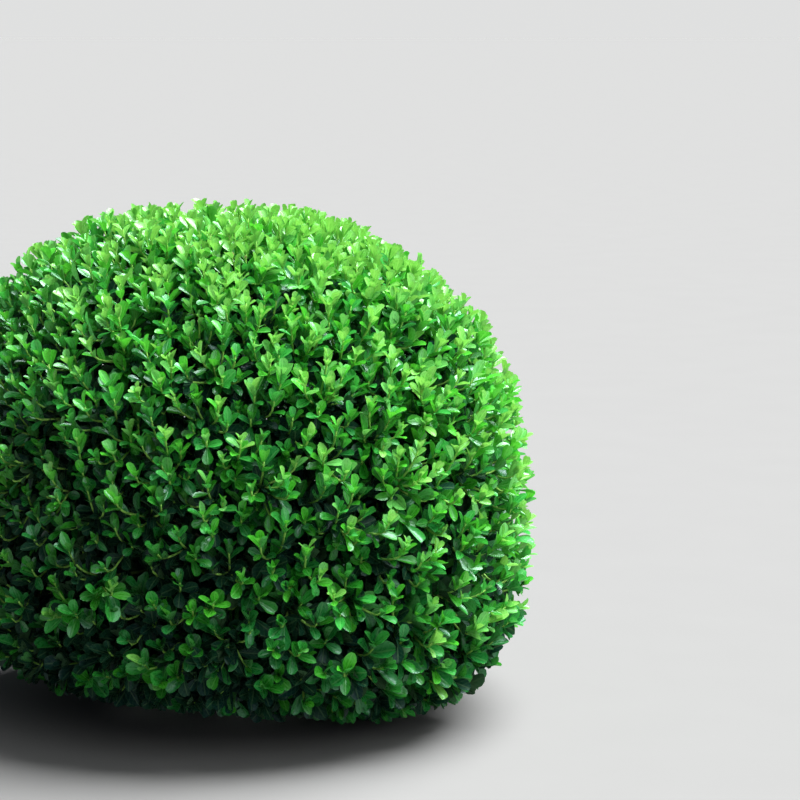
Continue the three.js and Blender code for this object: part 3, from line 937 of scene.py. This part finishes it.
def bark_relief(limb, levels, depth, grain):
    """Subdivides a straight limb and raises its bark. The limb is shorter meanwhile, so the fissures come out
    drawn along it. The straight shape is kept as an attribute for the bark's pattern."""
    apply_modifier(limb, "SUBSURF", levels=levels, render_levels=levels)
    drawn_out(limb, 1 / GRAIN_STRETCH)
    straight = limb.data.attributes.new("straight", "FLOAT_VECTOR", "POINT")
    straight.data.foreach_set("vector", np.array([vertex.co[:] for vertex in limb.data.vertices]).ravel())
    plates = bpy.data.textures.new("bark_plates", "VORONOI")
    plates.noise_scale = grain
    plates.weight_1 = -1
    plates.weight_2 = 1
    swells = bpy.data.textures.new("bark_swells", "CLOUDS")
    swells.noise_scale = grain * SWELL_GRAIN
    for texture, strength, level in ((plates, depth, FURROW_LEVEL), (swells, depth * SWELL_DEPTH, 0.5)):
        apply_modifier(
            limb, "DISPLACE", texture=texture, strength=strength, mid_level=level, texture_coords="LOCAL"
        )
    drawn_out(limb, GRAIN_STRETCH)
    bpy.ops.object.shade_smooth()


def bend_along(limb, corners):
    """Bends a straight limb along the curve of a start, an elbow and a tip."""
    start, elbow, tip = (Vector(corner) for corner in corners)
    deselect_all()
    bpy.ops.curve.primitive_bezier_curve_add()
    path = bpy.context.object
    for point, corner, sign in zip(path.data.splines[0].bezier_points, (start, tip), (1, -1)):
        handle = (elbow - corner) * sign * 2 / 3
        point.handle_left_type = "FREE"
        point.handle_right_type = "FREE"
        point.co = corner
        point.handle_right = corner + handle
        point.handle_left = corner - handle
    path.data.resolution_u = CURVE_FINENESS
    apply_modifier(limb, "CURVE", object=path, deform_axis="POS_Z")
    bpy.data.objects.remove(path)


def dress(piece, material, node):
    """Gives a finished piece its material and slot and its body, and hides the CAD part that it stands for.
    """
    piece.data.materials.clear()
    piece.data.materials.append(material)
    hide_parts(node)
    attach(piece, BODY)


def add_node(tree, kind, links=(), **values):
    """A node with its settings and links into its inputs, each an input's name or number and its source."""
    node = tree.nodes.new(kind)
    for key, value in values.items():
        setattr(node, key, value)
    for target, source in links:
        tree.links.new(source, node.inputs[target])
    return node


def feed(tree, sockets, sources):
    """Gives each socket its link or its plain value."""
    for socket, source in zip(sockets, sources):
        if isinstance(source, bpy.types.NodeSocket):
            tree.links.new(source, socket)
        else:
            socket.default_value = source


def mapped(tree, source, low, high, to_low=0.0, to_high=1.0):
    """A value carried smoothly from one range to another and held at its ends."""
    node = add_node(tree, "ShaderNodeMapRange", interpolation_type="SMOOTHSTEP")
    feed(tree, node.inputs[:5], (source, low, high, to_low, to_high))
    return node.outputs["Result"]


def mixed(tree, factor, first, second, blend="MIX"):
    """Two colours mixed by a factor. Each of the three is a socket or a plain value."""
    node = add_node(tree, "ShaderNodeMix", data_type="RGBA", blend_type=blend)
    feed(tree, (node.inputs[0], node.inputs[6], node.inputs[7]), (factor, first, second))
    return node.outputs[2]


def math_node(tree, operation, *sources):
    node = add_node(tree, "ShaderNodeMath", operation=operation)
    feed(tree, node.inputs, sources)
    return node.outputs[0]


def plus(tree, first, second):
    return math_node(tree, "ADD", first, second)


def times(tree, first, second):
    return math_node(tree, "MULTIPLY", first, second)


def noise_node(tree, place, scale, detail):
    node = add_node(tree, "ShaderNodeTexNoise", [("Vector", place)])
    node.inputs["Scale"].default_value = scale
    node.inputs["Detail"].default_value = detail
    return node


def new_group(name, colours):
    """A shader group that takes named colours. Returns it with its input node."""
    group = bpy.data.node_groups.new(name, "ShaderNodeTree")
    for label in colours:
        group.interface.new_socket(name=label, in_out="INPUT", socket_type="NodeSocketColor")
    return group, group.nodes.new("NodeGroupInput")


def finished_group(group, look, rough, height):
    """The group with its three outputs: a colour, a roughness and a height for a bump."""
    outputs = (("Color", "Color", look), ("Roughness", "Float", rough), ("Height", "Float", height))
    for label, kind, _ in outputs:
        group.interface.new_socket(name=label, in_out="OUTPUT", socket_type=f"NodeSocket{kind}")
    result = group.nodes.new("NodeGroupOutput")
    for label, _, source in outputs:
        group.links.new(source, result.inputs[label])
    return group


def layout_parts(tree):
    """A piece's own layout, as a place and as its two parts."""
    layout = add_node(tree, "ShaderNodeUVMap", uv_map=LAYOUT).outputs["UV"]
    parts = add_node(tree, "ShaderNodeSeparateXYZ", [(0, layout)])
    return layout, parts.outputs[0], parts.outputs[1]


def leaf_face_group(name):
    """The upper side of a leaf in its own layout: a pale midrib and margin, side veins, a lighter base."""
    group, given = new_group(name, ("Blade", "Rib"))
    plain, pale = given.outputs["Blade"], given.outputs["Rib"]
    layout, wide, along = layout_parts(group)
    aside = math_node(group, "ABSOLUTE", math_node(group, "SUBTRACT", wide, 0.5))
    out = times(group, aside, 2.0)
    rib = mapped(group, out, *RIB_EDGE)
    margin = mapped(group, out, *MARGIN_EDGE)
    base = mapped(group, along, *BASE_EDGE, 0.0, BASE_STRENGTH)
    slant = plus(group, times(group, along, VEINS_ALONG), times(group, out, VEINS_OUT))
    veins = mapped(group, math_node(group, "SINE", slant), *VEIN_EDGE)
    mottle = noise_node(group, layout, *LEAF_MOTTLE).outputs["Fac"]
    dark = mixed(group, 1.0, plain, LEAF_SHADE, "MULTIPLY")
    blade = mixed(group, mapped(group, mottle, *NOISE_RANGE), dark, plain)
    for part in (
        times(group, veins, VEIN_STRENGTH), base, times(group, margin, MARGIN_STRENGTH),
        times(group, rib, RIB_STRENGTH),
    ):
        blade = mixed(group, part, blade, pale)
    rough = mapped(group, mottle, *NOISE_MIDDLE, *LEAF_ROUGHNESS)
    height = plus(group, times(group, rib, RIB_HEIGHT), times(group, veins, VEIN_HEIGHT))
    return finished_group(group, blade, rough, height)


def twig_skin_group(name):
    """The skin of branches, twigs and shoots from their own layout: streaks along them, the scars of fallen
    leaf pairs, and a change of colour from root to tip."""
    group, given = new_group(name, ("Root", "Tip", "Scar"))
    layout, _, along = layout_parts(group)
    drawn = add_node(group, "ShaderNodeMapping", [("Vector", layout)])
    drawn.inputs["Scale"].default_value = STREAK_SHAPE
    noise = noise_node(group, drawn.outputs[0], *STREAKS).outputs["Fac"]
    streaks = mapped(group, noise, *STREAK_EDGE)
    scars = mapped(group, math_node(group, "SINE", times(group, along, SCAR_WAVES)), *SCAR_EDGE)
    skin = mixed(group, mapped(group, along, *TIP_EDGE), given.outputs["Root"], given.outputs["Tip"])
    skin = mixed(group, streaks, mixed(group, 1.0, skin, TWIG_SHADE, "MULTIPLY"), skin)
    skin = mixed(group, times(group, scars, SCAR_STRENGTH), skin, given.outputs["Scar"])
    rough = mapped(group, noise, *NOISE_RANGE, *TWIG_ROUGHNESS)
    height = plus(group, times(group, streaks, STREAK_HEIGHT), scars)
    return finished_group(group, skin, rough, height)


def bark_group(name):
    """Corky bark on the straight shape of a limb: blocks between fissures, and a dusting of green."""
    group, given = new_group(name, ("Bark", "Furrow", "Algae"))
    plain = given.outputs["Bark"]
    place = add_node(group, "ShaderNodeAttribute", attribute_name="straight").outputs["Vector"]
    waves = noise_node(group, place, *BARK_WAVES).outputs["Color"]
    wavy = add_node(group, "ShaderNodeVectorMath", [(0, waves), (2, place)], operation="MULTIPLY_ADD")
    wavy.inputs[1].default_value = BARK_WARP
    cells = add_node(group, "ShaderNodeTexVoronoi", [("Vector", wavy.outputs[0])], feature="DISTANCE_TO_EDGE")
    cells.inputs["Scale"].default_value = BARK_CELLS
    grain = noise_node(group, place, *BARK_GRAIN).outputs["Fac"]
    patches = noise_node(group, place, *BARK_PATCHES).outputs["Fac"]
    fissure = mapped(group, cells.outputs["Distance"], *FISSURE_EDGE)
    speck = mapped(group, grain, *NOISE_RANGE)
    bark = mixed(group, speck, plain, mixed(group, 1.0, plain, BARK_LIGHT, "MULTIPLY"))
    dusting = mapped(group, patches, *PATCH_EDGE, 0.0, PATCH_STRENGTH)
    bark = mixed(group, dusting, bark, given.outputs["Algae"])
    bark = mixed(group, fissure, given.outputs["Furrow"], bark)
    rough = mapped(group, grain, *NOISE_RANGE, *BARK_ROUGHNESS)
    height = plus(group, fissure, times(group, speck, SPECK_HEIGHT))
    return finished_group(group, bark, rough, height)


def group_material(name, group_name, make, colours, gloss, relief):
    """A material whose colour, roughness and relief come from a group with its own colours. The group is made
    the first time that it is asked for."""
    material = bpy.data.materials.new(name)
    material.use_nodes = True
    tree = material.node_tree
    shader = tree.nodes["Principled BSDF"]
    shader.inputs["Specular IOR Level"].default_value = gloss
    group = bpy.data.node_groups.get(group_name) or make(group_name)
    look = add_node(tree, "ShaderNodeGroup", node_tree=group)
    for label, value in colours.items():
        look.inputs[label].default_value = (*value, 1)
    bump = add_node(tree, "ShaderNodeBump", [("Height", look.outputs["Height"])])
    bump.inputs["Distance"].default_value, bump.inputs["Strength"].default_value = relief
    tree.links.new(look.outputs["Color"], shader.inputs["Base Color"])
    tree.links.new(look.outputs["Roughness"], shader.inputs["Roughness"])
    tree.links.new(bump.outputs["Normal"], shader.inputs["Normal"])
    return material, look, shader


def blended(first, first_share, second, second_share):
    return [one * first_share + other * second_share for one, other in zip(first, second)]


def leaf_material(tint, colours):
    """A leaf's gloss and colour, with some light passing through. Its underside is paler and duller."""
    base, shares = TINTS[tint]
    blade = [min(1.0, part * gain) for part, gain in zip(getattr(colours, base), shares)]
    keep, pale, pale_share = RIB_PALE
    given = {"Blade": blade, "Rib": blended(blade, keep, pale, pale_share)}
    gloss = DEEP_GLOSS if base == "deep" else LEAF_GLOSS
    material, look, shader = group_material(
        f"leaf_{tint}", "Leaf Face", leaf_face_group, given, gloss, LEAF_RELIEF
    )
    shader.inputs["Specular Tint"].default_value = GLOSS_TINT
    tree = material.node_tree
    keep, pale, pale_share = UNDER_PALE
    under = (*blended(blade, keep, pale, pale_share), 1)
    geometry = add_node(tree, "ShaderNodeNewGeometry")
    both = mixed(tree, geometry.outputs["Backfacing"], look.outputs["Color"], under)
    tree.links.new(both, shader.inputs["Base Color"])
    glow = mixed(tree, 1.0, look.outputs["Color"], GLOW, "MULTIPLY")
    through = add_node(tree, "ShaderNodeBsdfTranslucent", [("Color", glow)])
    leaf = add_node(tree, "ShaderNodeMixShader", [(1, shader.outputs[0]), (2, through.outputs[0])])
    leaf.inputs[0].default_value = LIGHT_THROUGH
    tree.links.new(leaf.outputs[0], tree.nodes["Material Output"].inputs["Surface"])
    return material


def bark_material(name, colours):
    given = {"Bark": colours.bark, "Furrow": colours.furrow, "Algae": ALGAE}
    return group_material(name, "Corky Bark", bark_group, given, BARK_GLOSS, BARK_RELIEF)[0]


def twig_material(name, root, tip, scar):
    given = {"Root": root, "Tip": tip, "Scar": scar}
    return group_material(name, "Twig Skin", twig_skin_group, given, TWIG_GLOSS, TWIG_RELIEF)[0]


class BOXBALL_OT_stem(bpy.types.Operator):
    """Models the stem with its root flare and fissured bark."""

    bl_idname = "boxball.stem"
    bl_label = "Stem"

    def execute(self, context):
        wood = context.scene.box_wood

        def radius_at(part):
            near_ground = math.exp(-part * wood.stem_height / wood.flare_height)
            plain = wood.stem_radius + (wood.stem_tip_radius - wood.stem_radius) * part
            return plain * (1 + wood.flare_gain * near_ground)

        stem = straight_limb("stem_bark", wood.stem_height, radius_at, *STEM_MESH)
        start_edit(stem)
        for ridge in range(wood.root_ridges):
            azimuth = math.tau * ridge / wood.root_ridges
            out = Vector((math.cos(azimuth), math.sin(azimuth), 0))
            for top in RIDGE_TOPS:
                select_where(stem, lambda place: place.z < top and place.normalized().dot(out) > RIDGE_COSINE)
                bpy.ops.transform.translate(value=out * wood.stem_radius * wood.ridge_depth)
        end_edit()
        bark_relief(stem, *STEM_RELIEF)
        bend_along(stem, (np.zeros(3), UP * wood.stem_height / 2, stem_line(wood, 1.0)))
        dress(stem, bark_material("stem_bark", context.scene.box_colours), "stem")
        return {"FINISHED"}


class BOXBALL_OT_boughs(bpy.types.Operator):
    """Models the boughs with their bark, each from inside the stem to where its branches begin."""

    bl_idname = "boxball.boughs"
    bl_label = "Boughs"

    def execute(self, context):
        scene = context.scene
        crown, wood = scene.box_crown, scene.box_wood
        material = bark_material("bough_bark", scene.box_colours)
        for i, corners in enumerate(bough_corners(crown, wood)):
            long = bough_length(corners, bough_share(corners, crown))

            def radius_at(part):
                plain = wood.bough_radius + (wood.bough_tip_radius - wood.bough_radius) * part
                return plain * (1 + COLLAR_GAIN * math.exp(-part * long / BOUGH_COLLAR))

            bough = straight_limb(f"bough_bark_{i + 1}", long + END_GAIN, radius_at, *BOUGH_MESH)
            bark_relief(bough, *BOUGH_RELIEF)
            bend_along(bough, corners)
            dress(bough, material, f"bough_{i + 1}")
        return {"FINISHED"}


def skins(plant, *kinds):
    return [tube_batch(plant.limbs[kind], LIMB_KINDS[kind]["sides"]) for kind in kinds]


class BOXBALL_OT_branches(bpy.types.Operator):
    """Grows branches and twigs on from the boughs."""

    bl_idname = "boxball.branches"
    bl_label = "Branches and Twigs"

    def execute(self, context):
        plant = Plant(context.scene)
        colours = context.scene.box_colours
        green_twig = blended(colours.twig, TWIG_END, colours.shoot, TWIG_END)
        looks = (
            ("branches", "branch_skin", colours.bark, colours.twig),
            ("twigs", "twig_skin", colours.twig, green_twig),
        )
        for name, skin, root, tip in looks:
            piece = joined_piece(name, skins(plant, name))
            dress(piece, twig_material(skin, root, tip, colours.furrow), "foliage_ball")
        return {"FINISHED"}


class BOXBALL_OT_foliage(bpy.types.Operator):
    """Grows the leafy shoots: green skins, and the leaves dealt out by spray into one piece for each tint."""

    bl_idname = "boxball.foliage"
    bl_label = "Shoots and Leaves"

    def execute(self, context):
        scene = context.scene
        plant = Plant(scene)
        colours = scene.box_colours
        shoots = joined_piece("shoots", skins(plant, "outer", "inner"))
        shoot_skin = twig_material("shoot_skin", colours.twig, colours.shoot, colours.young)
        dress(shoots, shoot_skin, "foliage_ball")
        random = np.random.default_rng(scene.box_growth.seed + 1)
        sprays = [spray_leaves(plant, name, scene, random) for name in SPRAYS]
        leaves = {key: np.concatenate([spray[key] for spray in sprays]) for key in sprays[0]}
        blades = [(blade_shape(name, *FLAT_SHAPE), blade_shape(name, *CURLED_SHAPE)) for name in BLADES]
        for tint, tint_number in TINT_NUMBERS.items():
            batches = []
            for blade_number, ((flat, faces, layout), (curled, _, _)) in enumerate(blades):
                mine = (leaves["tint"] == tint_number) & (leaves["blade"] == blade_number)
                if mine.any():
                    own = {key: values[mine] for key, values in leaves.items()}
                    batches.append((leaf_copies(flat, curled, own), faces, layout))
            piece = joined_piece(f"leaves_{tint}", batches)
            dress(piece, leaf_material(tint, colours), "foliage_ball")
        return {"FINISHED"}


class BOXBALL_OT_stage(bpy.types.Operator):
    """Sets a pale floor, soft lights and the camera."""

    bl_idname = "boxball.stage"
    bl_label = "Stage"

    def execute(self, context):
        scene = context.scene
        stage = scene.box_stage
        self.add_floor(stage)
        scene.world = self.soft_sky(stage)
        self.add_light("key", KEY_PLACE, stage.key_softness, stage.key_strength, stage.light_tint)
        self.add_light("fill", FILL_PLACE, stage.fill_softness, stage.fill_strength, stage.light_tint)
        scene.camera = self.add_camera(stage)
        scene.view_settings.view_transform = "Standard"
        return {"FINISHED"}

    def add_floor(self, stage):
        deselect_all()
        bpy.ops.mesh.primitive_plane_add(size=stage.floor_size)
        floor = new_piece("floor")
        start_edit(floor)
        bpy.ops.mesh.extrude_region_move(TRANSFORM_OT_translate={"value": (0, 0, -FLOOR_DEPTH)})
        bpy.ops.mesh.select_all(action="SELECT")
        bpy.ops.mesh.normals_make_consistent(inside=False)
        end_edit()
        material = bpy.data.materials.new("floor")
        material.use_nodes = True
        tree = material.node_tree
        shader = tree.nodes["Principled BSDF"]
        place = add_node(tree, "ShaderNodeTexCoord").outputs["Object"]
        mottle = noise_node(tree, place, *FLOOR_MOTTLE).outputs["Fac"]
        dim = (*[part * FLOOR_SHADE for part in stage.floor], 1)
        tree.links.new(mixed(tree, mottle, dim, (*stage.floor, 1)), shader.inputs["Base Color"])
        shader.inputs["Roughness"].default_value = FLOOR_ROUGHNESS
        shader.inputs["Specular IOR Level"].default_value = 0.0
        floor.data.materials.append(material)

    def soft_sky(self, stage):
        """A soft light from all sides, in front of which the camera sees a plain backdrop."""
        world = bpy.data.worlds.new("soft_sky")
        world.use_nodes = True
        tree = world.node_tree
        light = tree.nodes["Background"]
        light.inputs["Color"].default_value = (*stage.sky, 1)
        light.inputs["Strength"].default_value = stage.sky_strength
        wall = add_node(tree, "ShaderNodeBackground")
        wall.inputs["Color"].default_value = (*stage.wall, 1)
        ray = add_node(tree, "ShaderNodeLightPath")
        seen = add_node(tree, "ShaderNodeMixShader", [
            (0, ray.outputs["Is Camera Ray"]), (1, light.outputs[0]), (2, wall.outputs[0]),
        ])
        tree.links.new(seen.outputs[0], tree.nodes["World Output"].inputs["Surface"])
        return world

    def add_light(self, name, place, softness, strength, tint):
        deselect_all()
        bpy.ops.object.light_add(type="SUN", location=place)
        light = bpy.context.object
        light.name = name
        light.rotation_euler = Vector(place).to_track_quat("Z", "Y").to_euler()
        light.data.angle = softness
        light.data.energy = strength
        light.data.color = tint

    def add_camera(self, stage):
        deselect_all()
        aim = (math.pi / 2 - CAMERA_PITCH, 0, CAMERA_TURN)
        bpy.ops.object.camera_add(location=CAMERA_PLACE, rotation=aim)
        camera = bpy.context.object
        camera.name = "camera"
        camera.data.lens = stage.lens
        camera.data.sensor_width = CAMERA_SENSOR
        camera.data.clip_end = stage.floor_size
        camera.data.dof.use_dof = False
        return camera


class BOXBALL_PT_sidebar(bpy.types.Panel):
    """Lists the steps that dress the box ball, and their settings."""

    bl_idname = "BOXBALL_PT_sidebar"
    bl_label = "Clipped Box Ball"
    bl_space_type = "VIEW_3D"
    bl_region_type = "UI"
    bl_category = "Box Ball"

    def draw(self, context):
        for step in STEPS:
            self.layout.operator(step.bl_idname)
        for name in SETTINGS:
            settings = getattr(context.scene, name)
            box = self.layout.box()
            for key in settings.bl_rna.properties.keys():
                if key not in ("rna_type", "name"):
                    box.prop(settings, key)


STEPS = (BOXBALL_OT_stem, BOXBALL_OT_boughs, BOXBALL_OT_branches, BOXBALL_OT_foliage, BOXBALL_OT_stage)


def register():
    for name, settings in SETTINGS.items():
        bpy.utils.register_class(settings)
        setattr(bpy.types.Scene, name, bpy.props.PointerProperty(type=settings))
    for step in STEPS:
        bpy.utils.register_class(step)
    bpy.utils.register_class(BOXBALL_PT_sidebar)


def unregister():
    bpy.utils.unregister_class(BOXBALL_PT_sidebar)
    for step in reversed(STEPS):
        bpy.utils.unregister_class(step)
    for name, settings in reversed(SETTINGS.items()):
        delattr(bpy.types.Scene, name)
        bpy.utils.unregister_class(settings)


def main():
    register()
    bpy.ops.boxball.stem()
    bpy.ops.boxball.boughs()
    bpy.ops.boxball.branches()
    bpy.ops.boxball.foliage()
    bpy.ops.boxball.stage()


if __name__ == "__main__":
    main()
